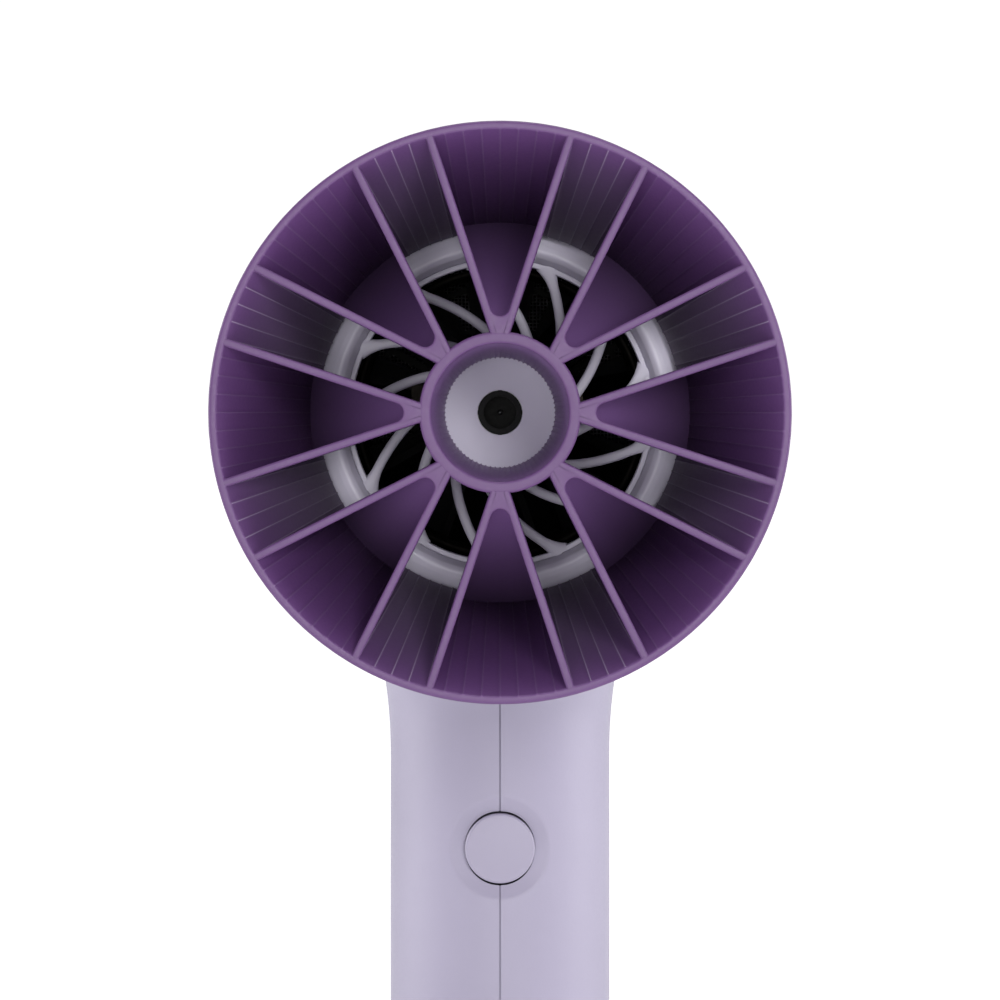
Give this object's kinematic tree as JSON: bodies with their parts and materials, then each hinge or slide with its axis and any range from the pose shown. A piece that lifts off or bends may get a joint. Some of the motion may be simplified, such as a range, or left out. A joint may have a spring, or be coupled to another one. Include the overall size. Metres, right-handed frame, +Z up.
{
  "type": "travel hair dryer",
  "caption": "Compact hair dryer with a round barrel, a straight fixed handle, a swirl outlet grille and a pull-off volumising diffuser bell.",
  "frame": {"origin": "centre of the cord inlet bore at the foot of the handle", "axes": "+Z up along the handle, -Y the way the air leaves, +X to the right seen from the front"},
  "size_m": [0.1, 0.16, 0.21],
  "materials": {
    "casing": "fine matt lavender moulding",
    "nozzle": "smooth lavender moulding",
    "grille": "smooth lavender moulding",
    "button": "smooth satin lavender",
    "cover": "fine matt lavender moulding",
    "diffuser": "satin purple moulding with fine flutes",
    "collar": "satin dark purple moulding",
    "dark_plastic": "black moulding",
    "inner_plastic": "black moulding",
    "gland": "soft grey lavender rubber",
    "filter": "woven steel mesh",
    "steel": "plain steel",
    "copper": "enamelled winding",
    "heater_wire": "oxidised resistance wire",
    "mica": "dark mica sheet",
    "board": "green circuit board",
    "magnet": "nickel plated magnet"
  },
  "bodies": {
    "dryer_body": {"left_casing": "casing", "right_casing": "casing", "handle_end_cap": "casing", "cord_gland": "gland", "end_cap_screws": "steel", "button_carrier": "inner_plastic", "button_spring": "gland", "tact_switch": "inner_plastic", "control_board": "board", "board_components": "inner_plastic", "slide_switch": "inner_plastic", "nozzle_ring": "nozzle", "front_grille": "grille", "ion_sleeve": "dark_plastic", "ion_needle": "steel", "heater_tube": "mica", "mica_board_flat": "mica", "mica_board_upright": "mica", "heater_coils": "heater_wire", "thermostat": "steel", "thermal_fuse": "steel", "motor_mount": "dark_plastic", "motor_dampers": "gland", "motor_can": "steel", "stator_core": "steel", "stator_windings": "copper", "front_bearing": "steel", "rear_bearing": "steel", "intake_guard": "dark_plastic"},
    "fan": {"rotor_shaft": "steel", "rotor_magnet": "magnet", "impeller": "dark_plastic"},
    "button": {"front_button": "button"},
    "speed_knob": {"switch_knob": "button"},
    "filter_cover": {"rear_cover": "cover", "cover_magnets": "magnet", "filter_mesh": "filter"},
    "collar": {"diffuser_collar": "collar", "collar_magnets": "magnet"},
    "diffuser": {"diffuser_bell": "diffuser"}
  },
  "joints": [
    {"name": "impeller_spin", "type": "hinge", "parent": "dryer_body", "child": "fan", "pos_m": [0, 0.039, 0.16], "axis": [0, 1, 0], "continuous": true},
    {"name": "button_press", "type": "slide", "parent": "dryer_body", "child": "button", "axis": [0, 1, 0], "range_m": [0, 0.0012], "stiffness_N_per_m": 1500, "springref_m": -0.001, "deforming": ["button_spring"]},
    {"name": "knob_slide", "type": "slide", "parent": "dryer_body", "child": "speed_knob", "axis": [0, 0, 1], "range_m": [-0.005, 0.005]},
    {"name": "cover_pull", "type": "slide", "parent": "dryer_body", "child": "filter_cover", "axis": [0, 1, 0], "range_m": [0, 0.03]},
    {"name": "diffuser_pull", "type": "slide", "parent": "dryer_body", "child": "collar", "axis": [0, -1, 0], "range_m": [0, 0.04]},
    {"name": "diffuser_turn", "type": "hinge", "parent": "collar", "child": "diffuser", "pos_m": [0, -0.052, 0.16], "axis": [0, 1, 0], "continuous": true}
  ]
}
